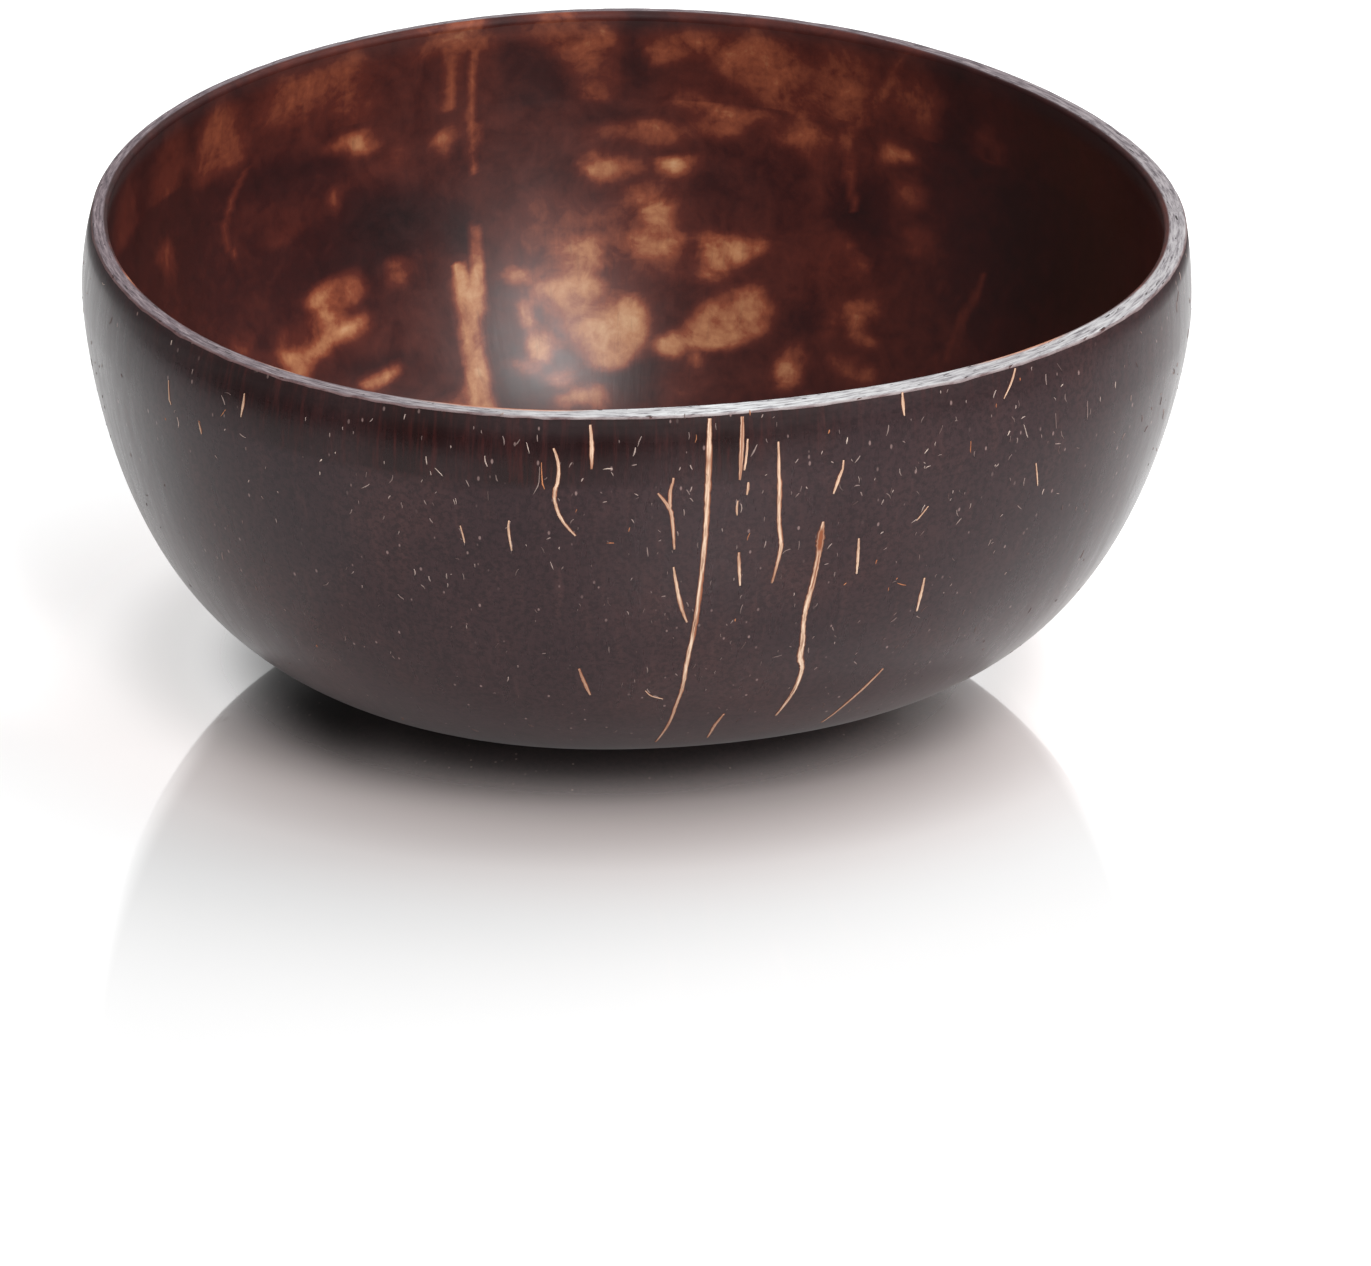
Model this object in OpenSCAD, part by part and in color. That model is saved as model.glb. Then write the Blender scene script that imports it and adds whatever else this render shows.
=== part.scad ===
// Coconut shell bowl: the larger part of a coconut shell, sawn a little above its widest
// level, scraped, sanded flat underneath and polished. The shell is three-ridged and slightly
// oval, leans a little on its base, and has an uneven wall. Pale strands of husk fibre lie in
// grooves of its outer face, sanded flush.
// Directions: +Z is up and -Y is the side with the longest strands. The origin is the middle
// of the flat base. A place on the shell is an azimuth, counted from +X towards +Y, and a
// latitude, which is 0 at the widest level, negative below it and -90 at the pole.

/* [Shell] */
// Mean width of the shell at its widest level
shell_d = 140; // [120:1:155]
// Mean width of the flat base
base_d = 44; // [34:1:52]
// Height of the widest level above the table
widest_h = 57.5; // [50:0.5:64]
// Height of the middle of the rim above the widest level
rim_rise = 11; // [7:0.5:15]
// Height of the gentle dome that rounds the underside
belly_h = 19; // [12:0.5:24]
// Height of the dome that the shell would close with above its widest level
crown_h = 78; // [60:1:95]
// Sideways distance of the widest level from the middle of the base
lean_x = 0.5; // [-2:0.5:2]
// Distance to the front of the widest level from the middle of the base
lean_y = -4.5; // [-6:0.5:2]

/* [Wall] */
// Mean thickness of the wall at the rim
wall = 3; // [2.6:0.1:4]
// Thickness of the natural shell at its lower pole
pole_wall = 4.5; // [4:0.1:6]
// Width of the broken edges of the rim
rim_edge = 0.4; // [0.2:0.05:0.6]

/* [Strands] */
// Width of a full strand where it is broadest
strand_w = 1; // [0.7:0.05:1.2]
// Depth of the strands in the wall
strand_t = 0.7; // [0.5:0.05:0.9]
// Gap between a strand and its groove
strand_gap = 0.05; // [0.04:0.01:0.1]

/* [Hidden] */

// How far grooves are cut past the outer face
overrun = 1;

// Outline seen from above, as shares of the radius: oval, three ridges, slight corners
oval_share = 0.048;
ridge_share = 0.019;
ridge_turn = -18;
corner_share = 0.007;
corner_turn = 22.5;
// Slope of the sawn rim, and the direction in which it rises
rim_tilt = 1.8;
rim_tilt_turn = 72;
// Share by which the wall is thicker on its thick side, and the direction of that side
thick_share = 0.15;
thick_turn = -68;
// Exponents of the meridian below the widest level: a low side exponent fills the flanks
side_exponent = 0.28;
drop_exponent = 1.32;

// Radius at which the inner face is closed at its pole, as a share of the shell's
closing_share = 0.06;

// Counts of facets: round the shell, below and above the widest level outside, below it
// inside, and along each step of a strand
round_n = 72;
low_n = 18;
high_n = 3;
inner_low_n = 15;
step_n = 3;

shell_r = shell_d / 2;
base_share = base_d / shell_d;
flank_h = widest_h - belly_h * (1 - base_share * base_share);
base_colat = asin(pow(base_share, 1 / side_exponent));
closing_colat = asin(pow(closing_share, 1 / side_exponent));

// Meridian: radius and height at a latitude, before the outline and the lean
function meridian(lat) = lat > 0
    ? [shell_r * cos(lat), widest_h + crown_h * sin(lat)]
    : let (share = pow(max(cos(lat), 0), side_exponent))
        [
            shell_r * share,
            widest_h - flank_h * pow(sin(-lat), drop_exponent) - belly_h * (1 - share * share)
        ];

// Outline seen from above, as a factor on the radius
function outline(az) = 1 + oval_share * cos(2 * az) + ridge_share * cos(3 * (az - ridge_turn))
    + corner_share * cos(4 * (az + corner_turn));

// A point of the outer face
function outer(az, lat) =
    let (
        at = meridian(lat),
        r = at[0] * outline(az),
        up = min(at[1] / widest_h, 1)
    )
    [r * cos(az) + lean_x * up, r * sin(az) + lean_y * up, at[1]];

function unit(v) = v / norm(v);

// Outward direction square to the outer face, from two short steps along it
probe = 0.2;
function facing(az, lat) =
    let (step = min(probe, (90 + lat) / 2))
    unit(cross(
        outer(az + probe, lat) - outer(az - probe, lat),
        outer(az, lat + step) - outer(az, lat - step)
    ));

// Thickness of the wall: uneven round the shell, growing towards the pole
function thickness(az, lat) =
    let (side = 1 + thick_share * cos(az - thick_turn))
    lat > 0 ? wall * side : wall * side + (pole_wall - wall * side) * pow(sin(-lat), 2);

// A point of the inner face
function inner(az, lat) = outer(az, lat) - facing(az, lat) * thickness(az, lat);

// Latitude of the sawn rim
function rim_lat(az) =
    asin((rim_rise + tan(rim_tilt) * shell_r * cos(az - rim_tilt_turn)) / crown_h);

// Latitude of ring i of n below the widest level, closer together towards the pole
function low_lat(first_colat, i, n) =
    let (first = pow(first_colat / 90, 1 / 3), level = first + (1 - first) * i / n)
    90 * pow(level, 3) - 90;

function ring(i) = [for (k = [0:round_n - 1]) ring_point(i, 360 * k / round_n)];

// Rings 0 to rim_i run up the outer face, the next lies inside the rim, and the rest run down
rim_i = low_n + high_n + 1;
inside_i = rim_i + 2;
inner_widest_i = inside_i + high_n;
ring_count = inner_widest_i + inner_low_n + 1;

function ring_point(i, az) =
    let (
        base = outer(az, base_colat - 90),
        top = rim_lat(az),
        edge_lat = top - rim_edge / crown_h * 180 / PI,
        out_top = outer(az, top),
        in_top = inner(az, top),
        in_rim = [in_top[0], in_top[1], out_top[2]],
        across = unit(in_rim - out_top)
    )
    i == 0 ? [base[0], base[1], 0] :
    i < low_n ? outer(az, low_lat(base_colat, i, low_n)) :
    i < rim_i ? outer(az, edge_lat * (i - low_n) / high_n) :
    i == rim_i ? out_top + across * rim_edge :
    i == rim_i + 1 ? in_rim - across * rim_edge :
    i < inner_widest_i ? inner(az, edge_lat * (inner_widest_i - i) / high_n) :
    inner(az, low_lat(closing_colat, ring_count - 1 - i, inner_low_n));

// Closed solid through rings of equally many points, the first and last ring filled
module loft(rings) {
    n = len(rings[0]);
    last = len(rings) - 1;
    points = [for (r = rings) for (p = r) p];
    walls = [
        for (i = [0:last - 1]) for (k = [0:n - 1])
            let (a = i * n + k, b = i * n + (k + 1) % n)
            each [[a, a + n, b], [b, a + n, b + n]]
    ];
    first_cap = [for (k = [0:n - 1]) k];
    last_cap = [for (k = [n - 1:-1:0]) last * n + k];
    polyhedron(points, concat(walls, [first_cap, last_cap]));
}

// The bowl before its grooves are cut
module shell_blank() {
    loft([for (i = [0:ring_count - 1]) ring(i)]);
}

// Strand routes: azimuth, latitude, share of the full width
long_places_shares = [
    [-80.8, 6.2, 0.55], [-80.9, 3.5, 0.8], [-81, -4, 0.9], [-81, -13, 0.8], [-81.1, -22, 0.75],
    [-81.3, -31, 0.7], [-81.5, -37, 0.7], [-82, -45, 0.7], [-82.2, -52, 0.6],
    [-82.7, -57, 0.5], [-83.2, -63, 0.45], [-84.5, -72, 0.3]
];
thick_places_shares = [
    [-67.4, -15.5, 0.35], [-67.5, -19.5, 1], [-67.5, -23.5, 0.75], [-67.7, -29, 0.8],
    [-68, -34, 0.9], [-68, -38, 0.7], [-67.6, -42.5, 0.85], [-67.4, -46.5, 1],
    [-66.7, -49.5, 0.8], [-66.7, -55, 0.7], [-67.2, -60, 0.5], [-67.6, -63.5, 0.3]
];
fork_stem_places_shares = [
    [-86.6, -4.5, 0.3], [-85.3, -9, 0.6], [-84.9, -12, 0.55], [-84.5, -19.5, 0.3]
];
fork_branch_places_shares = [[-84.9, 0.5, 0.3], [-85.2, -4, 0.5], [-85.2, -9.5, 0.55]];
fork_tail_places_shares = [
    [-84.5, -23.5, 0.3], [-84.1, -27, 0.5], [-83.4, -32, 0.6], [-82.5, -36, 0.3]
];
straight_places_shares = [
    [-73, 3.5, 0.35], [-72.8, -4, 0.7], [-72.6, -14, 0.6], [-72.1, -20, 0.7],
    [-72.3, -24, 0.5], [-72.7, -28.5, 0.3]
];
curved_places_shares = [
    [-98.2, 3.5, 0.3], [-97.6, 1.5, 0.55], [-98, -3.5, 0.6], [-97.9, -8, 0.55],
    [-97.1, -12.5, 0.5], [-95.7, -16, 0.3]
];
rim_places_shares = [[-77.1, 6.2, 0.5], [-77.2, 3, 0.7], [-77.4, -0.5, 0.3]];
short_upper_places_shares = [[-94.2, 5.8, 0.4], [-94, 3.5, 0.7], [-94, 1.5, 0.3]];
short_middle_places_shares = [[-77, -21, 0.35], [-76.8, -24.5, 0.55], [-76.5, -28.5, 0.3]];
upper_right_places_shares = [[-65.5, 1, 0.3], [-66, -4, 0.6], [-66.5, -8.5, 0.3]];
middle_right_places_shares = [[-62.9, -20.5, 0.3], [-62.7, -24.5, 0.5], [-62.5, -28.5, 0.3]];
lower_right_places_shares = [[-53.7, -32, 0.3], [-53.6, -36, 0.55], [-53.5, -39.5, 0.3]];
low_diagonal_places_shares = [
    [-55, -53, 0.3], [-56.3, -58, 0.5], [-57.6, -64, 0.45], [-58.3, -70, 0.3]
];
lower_left_places_shares = [[-95.5, -46.5, 0.3], [-94.9, -50, 0.55], [-94.2, -53.5, 0.3]];
base_places_shares = [[-75.6, -61, 0.3], [-76.3, -65.5, 0.5], [-76.3, -71, 0.3]];

// A smooth curve through the places, and how many steps it has
function spline(p, t) =
    let (
        i = min(floor(t), len(p) - 2),
        u = t - i,
        a = p[max(i - 1, 0)],
        b = p[i],
        c = p[i + 1],
        d = p[min(i + 2, len(p) - 1)]
    )
    (2 * b + (c - a) * u + (2 * a - 5 * b + 4 * c - d) * u * u
        + (3 * b - a - 3 * c + d) * u * u * u) / 2;

// Section of a strand or its groove: flat face outwards, rounded below
section_shares = [[-1, 0], [-0.8, -0.65], [-0.35, -1], [0.35, -1], [0.8, -0.65], [1, 0]];

// A ribbon in the outer face, grown by a gap on every side and raised by a height
module ribbon(places, gap, raised) {
    steps = (len(places) - 1) * step_n;
    last = len(places) - 1;
    end_run = 0.1;
    rings = [
        for (i = [-1:steps + 1])
            let (
                t = max(0, min(last, i / step_n)),
                at = spline(places, t),
                before = spline(places, max(t - end_run, 0)),
                after = spline(places, min(t + end_run, last)),
                out = facing(at[0], at[1]),
                along = unit(outer(after[0], after[1]) - outer(before[0], before[1])),
                side = unit(cross(out, along)),
                beyond = (i < 0 ? -gap : i > steps ? gap : 0),
                middle = outer(at[0], at[1]) + along * beyond,
                half_w = at[2] * strand_w / 2 + gap,
                deep = strand_t + gap
            )
            if (gap > 0 || (i >= 0 && i <= steps))
                concat(
                    [for (s = section_shares) middle + side * s[0] * half_w + out * s[1] * deep],
                    raised > 0
                        ? [middle + side * half_w + out * raised, middle - side * half_w + out * raised]
                        : []
                )
    ];
    loft(rings);
}

module strand(places) {
    ribbon(places, 0, 0);
}

module groove(places) {
    ribbon(places, strand_gap, overrun);
}

// Every strand's route, for the grooves
routes = [
    long_places_shares, thick_places_shares, fork_stem_places_shares, fork_branch_places_shares,
    fork_tail_places_shares, straight_places_shares, curved_places_shares, rim_places_shares,
    short_upper_places_shares, short_middle_places_shares, upper_right_places_shares,
    middle_right_places_shares, lower_right_places_shares, low_diagonal_places_shares,
    lower_left_places_shares, base_places_shares
];

module shell() {
    color([0.2, 0.14, 0.14])
        difference() {
            shell_blank();
            for (route = routes) groove(route);
        }
}

module pale() {
    color([0.78, 0.64, 0.47]) children();
}

module long_strand() {
    pale() strand(long_places_shares);
}

module thick_strand() {
    pale() strand(thick_places_shares);
}

module forked_strand() {
    pale()
        union() {
            strand(fork_stem_places_shares);
            strand(fork_branch_places_shares);
        }
}

module fork_tail_strand() {
    pale() strand(fork_tail_places_shares);
}

module straight_strand() {
    pale() strand(straight_places_shares);
}

module curved_strand() {
    pale() strand(curved_places_shares);
}

module rim_strand() {
    pale() strand(rim_places_shares);
}

module short_upper_strand() {
    pale() strand(short_upper_places_shares);
}

module short_middle_strand() {
    pale() strand(short_middle_places_shares);
}

module upper_right_strand() {
    pale() strand(upper_right_places_shares);
}

module middle_right_strand() {
    pale() strand(middle_right_places_shares);
}

module lower_right_strand() {
    pale() strand(lower_right_places_shares);
}

module low_diagonal_strand() {
    pale() strand(low_diagonal_places_shares);
}

module lower_left_strand() {
    pale() strand(lower_left_places_shares);
}

module base_strand() {
    pale() strand(base_places_shares);
}

shell();
long_strand();
thick_strand();
forked_strand();
fork_tail_strand();
straight_strand();
curved_strand();
rim_strand();
short_upper_strand();
short_middle_strand();
upper_right_strand();
middle_right_strand();
lower_right_strand();
low_diagonal_strand();
lower_left_strand();
base_strand();
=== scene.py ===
import math
import random

import bpy
import numpy as np
from mathutils import Matrix, Vector


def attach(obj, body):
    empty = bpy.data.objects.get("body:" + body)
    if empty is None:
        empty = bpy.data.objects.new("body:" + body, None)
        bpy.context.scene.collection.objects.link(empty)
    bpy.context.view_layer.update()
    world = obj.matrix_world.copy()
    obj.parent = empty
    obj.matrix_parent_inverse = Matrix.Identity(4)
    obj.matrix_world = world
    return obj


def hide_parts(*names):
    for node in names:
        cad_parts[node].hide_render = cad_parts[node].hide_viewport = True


# A polished coconut shell bowl on a pale, slightly glossy floor. Lengths are worked out in
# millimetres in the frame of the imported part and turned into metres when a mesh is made.
MM = 0.001
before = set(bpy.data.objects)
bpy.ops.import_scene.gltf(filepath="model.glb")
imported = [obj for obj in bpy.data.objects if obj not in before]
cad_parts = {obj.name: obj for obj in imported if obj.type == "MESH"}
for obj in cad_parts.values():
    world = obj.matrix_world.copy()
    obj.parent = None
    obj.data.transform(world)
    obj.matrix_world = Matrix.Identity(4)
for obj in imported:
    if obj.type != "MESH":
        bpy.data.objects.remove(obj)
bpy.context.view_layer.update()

# Shell, as in the part: see its source for the directions
SHELL_R = 70.0
BASE_R = 22.0
WIDEST_H = 57.5
RIM_RISE = 11.0
BELLY_H = 19.0
CROWN_H = 78.0
LEAN = (0.5, -4.5)
WALL = 3.0
POLE_WALL = 4.5
STRAND_W = 1.0
STRAND_T = 0.7
OVAL_SHARE = 0.048
RIDGE_SHARE = 0.019
RIDGE_TURN = -18.0
CORNER_SHARE = 0.007
CORNER_TURN = 22.5
RIM_TILT = 1.8
RIM_TILT_TURN = 72.0
THICK_SHARE = 0.15
THICK_TURN = -68.0
SIDE_EXPONENT = 0.28
DROP_EXPONENT = 1.32
# Share of the height over which the lean eases off below the widest level
LEAN_SOFT = 0.04
# Half the step in degrees over which the face's direction is measured
PROBE = 0.2
BASE_SHARE = BASE_R / SHELL_R
FLANK_H = WIDEST_H - BELLY_H * (1 - BASE_SHARE ** 2)
BASE_COLAT = math.degrees(math.asin(BASE_SHARE ** (1 / SIDE_EXPONENT)))

# Photograph: its size, and the camera that was fitted to the bowl's outline in it
PHOTO_W = 1371
PHOTO_H = 1266
FOCAL_PX = 10348.0
CAMERA_DISTANCE = 1385.0
CAMERA_ELEVATION = 24.03
CAMERA_ROLL = 0.75
AIM = (0.5, -4.5, 30.0)
AIM_PX = (627.7, 471.4)
SENSOR_MM = 36.0


def cosd(angle):
    return np.cos(np.radians(angle))


def sind(angle):
    return np.sin(np.radians(angle))


def smooth(low, high, value):
    t = np.clip((value - low) / (high - low), 0, 1)
    return t * t * (3 - 2 * t)


def unit(vector):
    return vector / np.linalg.norm(vector, axis=-1, keepdims=True)


def outline(az):
    """The shell's outline seen from above, as a factor on its radius."""
    return (1 + OVAL_SHARE * cosd(2 * az) + RIDGE_SHARE * cosd(3 * (az - RIDGE_TURN))
            + CORNER_SHARE * cosd(4 * (az + CORNER_TURN)))


def lean_share(height):
    """Share of the lean reached at a height: none at the base, all of it from the widest level up."""
    below = np.clip(1 - height / WIDEST_H, 0, 1)
    return 1 - (np.hypot(below, LEAN_SOFT) - LEAN_SOFT) / (math.hypot(1, LEAN_SOFT) - LEAN_SOFT)


def outer(az, lat):
    """Points of the outer face at an azimuth and a latitude in degrees."""
    az, lat = np.broadcast_arrays(np.asarray(az, float), np.asarray(lat, float))
    share = np.clip(cosd(lat), 0, 1) ** np.where(lat > 0, 1, SIDE_EXPONENT)
    drop = FLANK_H * np.clip(-sind(lat), 0, 1) ** DROP_EXPONENT + BELLY_H * (1 - share ** 2)
    height = np.where(lat > 0, WIDEST_H + CROWN_H * sind(lat), WIDEST_H - drop)
    radius = SHELL_R * share * outline(az)
    up = lean_share(height)
    return np.stack([radius * cosd(az) + LEAN[0] * up, radius * sind(az) + LEAN[1] * up, height], -1)


def facing(az, lat):
    """Outward direction square to the outer face."""
    probe = np.minimum(PROBE, (90 + np.asarray(lat, float)) / 2)
    across = outer(az + PROBE, lat) - outer(az - PROBE, lat)
    upward = outer(az, lat + probe) - outer(az, lat - probe)
    return unit(np.cross(across, upward))


def thickness(az, lat):
    side = WALL * (1 + THICK_SHARE * cosd(az - THICK_TURN))
    return side + (POLE_WALL - side) * np.clip(-sind(lat), 0, 1) ** 2


def inner(az, lat):
    """Points of the inner face, square under those of the outer face."""
    return outer(az, lat) - facing(az, lat) * thickness(az, lat)[..., None]


def eased(az, lat):
    """The outer face as it shows: eased inwards towards the sawn edge."""
    share = np.clip((lat - EASE_FROM) / (rim_lat(az) - EASE_FROM), 0, 1) ** 2
    return outer(az, lat) - facing(az, lat) * (share * around(az, RIM_EASE))[..., None]


def rim_lat(az):
    rise = RIM_RISE + math.tan(math.radians(RIM_TILT)) * SHELL_R * cosd(az - RIM_TILT_TURN)
    return np.degrees(np.arcsin(rise / CROWN_H))


def low_lats(first_colat, count, last_colat=90.0):
    """Latitudes from near the pole upwards, closer together near the pole."""
    first = (first_colat / last_colat) ** (1 / 3)
    return last_colat * np.linspace(first, 1, count) ** 3 - 90


def around(az, rows):
    """A value read from rows of azimuth and value, with straight lines between them."""
    rows = sorted(rows)
    return np.interp(az, [row[0] for row in rows], [row[1] for row in rows], period=360)


def waves(az, lat, seed, count=7, slowest=2, fastest=9):
    """A smooth seeded field over the shell, about -1 to 1, that closes round it."""
    rng = random.Random(seed)
    total = np.zeros(np.broadcast(az, lat).shape)
    for _ in range(count):
        turns = rng.randint(slowest, fastest)
        climb = rng.uniform(-fastest, fastest)
        total = total + np.sin(np.radians(turns * az + climb * lat) + rng.uniform(0, 2 * math.pi))
    return total / math.sqrt(count)


def new_mesh_object(name, points_mm, faces):
    mesh = bpy.data.meshes.new(name)
    mesh.from_pydata([tuple(p) for p in np.asarray(points_mm) * MM], [], faces)
    mesh.validate()
    mesh.polygons.foreach_set("use_smooth", [True] * len(mesh.polygons))
    piece = bpy.data.objects.new(name, mesh)
    bpy.context.scene.collection.objects.link(piece)
    return piece


def give(piece, **layers):
    """Gives each point of a piece the numbers or vectors that its material reads by name."""
    for name, values in layers.items():
        values = np.asarray(values, dtype=np.float32)
        kind, field = ("FLOAT", "value") if values.ndim == 1 else ("FLOAT_VECTOR", "vector")
        layer = piece.data.attributes.new(name, kind, "POINT")
        layer.data.foreach_set(field, values.ravel())


# Shader helpers: apart from add they return an output socket, and they take numbers or sockets

def link(tree, socket, value):
    if isinstance(value, bpy.types.NodeSocket):
        tree.links.new(value, socket)
    elif value is not None:
        socket.default_value = value


def add(tree, kind, inputs=(), **settings):
    """Adds a node, sets it up and feeds its inputs by name or number. Returns its outputs."""
    node = tree.nodes.new("ShaderNode" + kind)
    for name, value in settings.items():
        setattr(node, name, value)
    for key, value in dict(inputs).items():
        link(tree, node.inputs[key], value)
    return node.outputs


def noise(tree, vector, size_mm, detail=3.0, rough=0.5, warp=0.0):
    return add(tree, "TexNoise", {
        "Vector": vector, "Scale": 1 / (size_mm * MM), "Detail": detail, "Roughness": rough,
        "Distortion": warp})["Fac"]


def attribute(tree, name, output="Fac"):
    return add(tree, "Attribute", attribute_name=name)[output]


def sums(tree, operation, a, b=None, c=None):
    return add(tree, "Math", {0: a, 1: b, 2: c}, operation=operation)[0]


def remap(tree, value, low, high, out_low=0.0, out_high=1.0):
    values = enumerate((value, low, high, out_low, out_high))
    return add(tree, "MapRange", values, interpolation_type="SMOOTHSTEP")[0]


def blend(tree, factor, a, b):
    return add(tree, "Mix", {0: factor, 6: a, 7: b}, data_type="RGBA")[2]


def scaled(tree, vector, factors):
    return add(tree, "VectorMath", {0: vector, 1: factors}, operation="MULTIPLY")[0]


def coordinate(tree, vector, axis):
    return add(tree, "SeparateXYZ", {0: vector})[axis]


def bump(tree, height, depth_mm, strength=1.0, below=None):
    return add(tree, "Bump", {
        "Strength": strength, "Distance": depth_mm * MM, "Height": height, "Normal": below})[0]


def specks(tree, vector, size_mm, reach):
    """Seeded dots, about one in a cell of this size: 1 inside a dot, and a number for each cell."""
    cell = add(tree, "TexVoronoi", {"Vector": vector, "Scale": 1 / (size_mm * MM)})
    chance = add(tree, "SeparateColor", {0: cell["Color"]})[0]
    return remap(tree, cell["Distance"], reach * 0.5, reach, 1.0, 0.0), chance


def ramp(tree, value, stops):
    node = tree.nodes.new("ShaderNodeValToRGB")
    link(tree, node.inputs[0], value)
    elements = node.color_ramp.elements
    while len(elements) < len(stops):
        elements.new(0.5)
    for element, (place, colour) in zip(elements, stops):
        element.position = place
        element.color = colour
    return node.outputs[0]


def rgb(red, green, blue):
    """A colour as seen on a screen, 0 to 255 each, in the linear values of a shader."""
    def linear(level):
        level /= 255
        return level / 12.92 if level <= 0.04045 else ((level + 0.055) / 1.055) ** 2.4
    return (linear(red), linear(green), linear(blue), 1.0)


def new_material(name):
    material = bpy.data.materials.new(name)
    material.use_nodes = True
    tree = material.node_tree
    return material, tree, tree.nodes["Principled BSDF"].inputs


def dress(tree, shader, colour, rough, specular, normal=None):
    """Gives a shader its colour, roughness and relief, and one specular level all over."""
    link(tree, shader["Base Color"], colour)
    link(tree, shader["Roughness"], rough)
    link(tree, shader["Normal"], normal)
    shader["Specular IOR Level"].default_value = specular


# Materials of the object: each table gives the colours at steps of a noise or of a tone

OUTSIDE_TONES = [(0.3, rgb(45, 29, 32)), (0.52, rgb(52, 34, 36)), (0.7, rgb(61, 38, 38))]
INSIDE_TONES = [
    (0.0, rgb(32, 16, 17)), (0.14, rgb(52, 20, 19)), (0.32, rgb(84, 35, 27)),
    (0.5, rgb(130, 67, 45)), (0.7, rgb(171, 117, 81)), (0.92, rgb(196, 155, 117)),
]
# The sawn edge's grey end grain as a lit copy and a shaded copy, mixed by its painted light
RIM_LIT_TONES = [
    (0.32, rgb(84, 78, 82)), (0.42, rgb(152, 150, 153)),
    (0.52, rgb(200, 201, 202)), (0.7, rgb(222, 225, 224)),
]
RIM_SHADED_TONES = [
    (0.32, rgb(54, 45, 50)), (0.45, rgb(94, 82, 87)),
    (0.56, rgb(126, 113, 117)), (0.7, rgb(158, 148, 150)),
]
STRAND_TONES = [
    (0.3, rgb(120, 76, 56)), (0.44, rgb(186, 149, 124)),
    (0.56, rgb(217, 188, 163)), (0.8, rgb(232, 210, 190)),
]
# Flecks: from faint to the palest, and from where on they are orange brown
PALEST = 0.88
ORANGE_FROM = 0.93
FLECK_TONES = [
    (0.0, rgb(80, 62, 60)), (0.35, rgb(120, 102, 98)), (0.7, rgb(170, 150, 142)),
    (PALEST, rgb(208, 188, 174)), (ORANGE_FROM, rgb(166, 100, 66)), (1.0, rgb(190, 124, 82)),
]


def shell_outside():
    """Dark polished shell: faint fibre streaks, redder and greyer clouds, fine grain and dots."""
    material, tree, shader = new_material("shell_outside")
    grain = attribute(tree, "grain", "Vector")
    place = attribute(tree, "place", "Vector")
    clouds = noise(tree, place, 24, 3, 0.55)
    above_base = remap(tree, coordinate(tree, place, "Z"), 0.004, 0.03)
    streaks = sums(tree, "SUBTRACT", noise(tree, grain, 1.6, 5, 0.6), 0.5)
    streaks = sums(tree, "MULTIPLY_ADD", streaks, above_base, 0.5)
    mottle = noise(tree, place, 0.7, 4, 0.7)
    base = ramp(tree, clouds, OUTSIDE_TONES)
    streaked = blend(tree, remap(tree, streaks, 0.5, 0.75, 0.0, 0.45), base, rgb(72, 47, 46))
    dark = blend(tree, remap(tree, mottle, 0.42, 0.62, 0.0, 0.55), streaked, rgb(24, 14, 17))
    redness = attribute(tree, "redness")
    lines = noise(tree, grain, 0.8, 4, 0.7)
    band = blend(tree, remap(tree, lines, 0.45, 0.75), rgb(27, 10, 10), rgb(54, 19, 17))
    red = blend(tree, redness, dark, band)
    spot, chance = specks(tree, scaled(tree, place, (1, 1, 0.5)), 1.5, 0.14)
    faint = sums(tree, "MULTIPLY", spot, remap(tree, chance, 0.3, 0.9, 0.0, 0.75))
    dotted = blend(tree, faint, red, rgb(136, 112, 108))
    rough = sums(tree, "MULTIPLY_ADD", redness, -0.04, remap(tree, streaks, 0.3, 0.7, 0.26, 0.34))
    rough = sums(tree, "MULTIPLY_ADD", attribute(tree, "near_edge"), 0.45, rough)
    relief = bump(tree, mottle, 0.03, 0.5, bump(tree, streaks, 0.03, 0.2))
    dress(tree, shader, dotted, rough, 0.24, relief)
    shader["Sheen Weight"].default_value = 0.12
    shader["Sheen Roughness"].default_value = 0.3
    return material


def mottled(tree, place):
    """Colour of the inside: near black with maroon, rust and orange patches, and a few painted shade and
    painted highlight clouds.
    """
    cloud = noise(tree, place, 6, 4, 0.6, 0.8)
    small = noise(tree, place, 1.8, 4, 0.6, 0.3)
    uneven = sums(tree, "ADD", sums(tree, "MULTIPLY_ADD", cloud, 0.55, -0.275),
                  sums(tree, "MULTIPLY_ADD", small, 0.36, -0.18))
    pale = attribute(tree, "paleness")
    level = sums(tree, "MULTIPLY_ADD", uneven, remap(tree, pale, 0.15, 0.6, 0.45, 1.15), pale)
    return ramp(tree, level, INSIDE_TONES), cloud


def shell_inside():
    """Scraped and polished inside, smoother round the bowl than up and down it."""
    material, tree, shader = new_material("shell_inside")
    place = attribute(tree, "place", "Vector")
    grain = attribute(tree, "grain", "Vector")
    fibre = noise(tree, grain, 1.0, 4, 0.6)
    colour, cloud = mottled(tree, place)
    dark = blend(tree, remap(tree, fibre, 0.55, 0.75, 0.0, 0.2), colour, rgb(44, 18, 18))
    rough = remap(tree, cloud, 0.3, 0.7, 0.36, 0.41)
    rough = sums(tree, "MULTIPLY_ADD", attribute(tree, "near_edge"), 0.3, rough)
    dress(tree, shader, dark, rough, 0.5, bump(tree, fibre, 0.03, 0.3))
    shader["Anisotropic"].default_value = 0.4
    shader["Anisotropic Rotation"].default_value = 0.25
    return material


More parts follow.
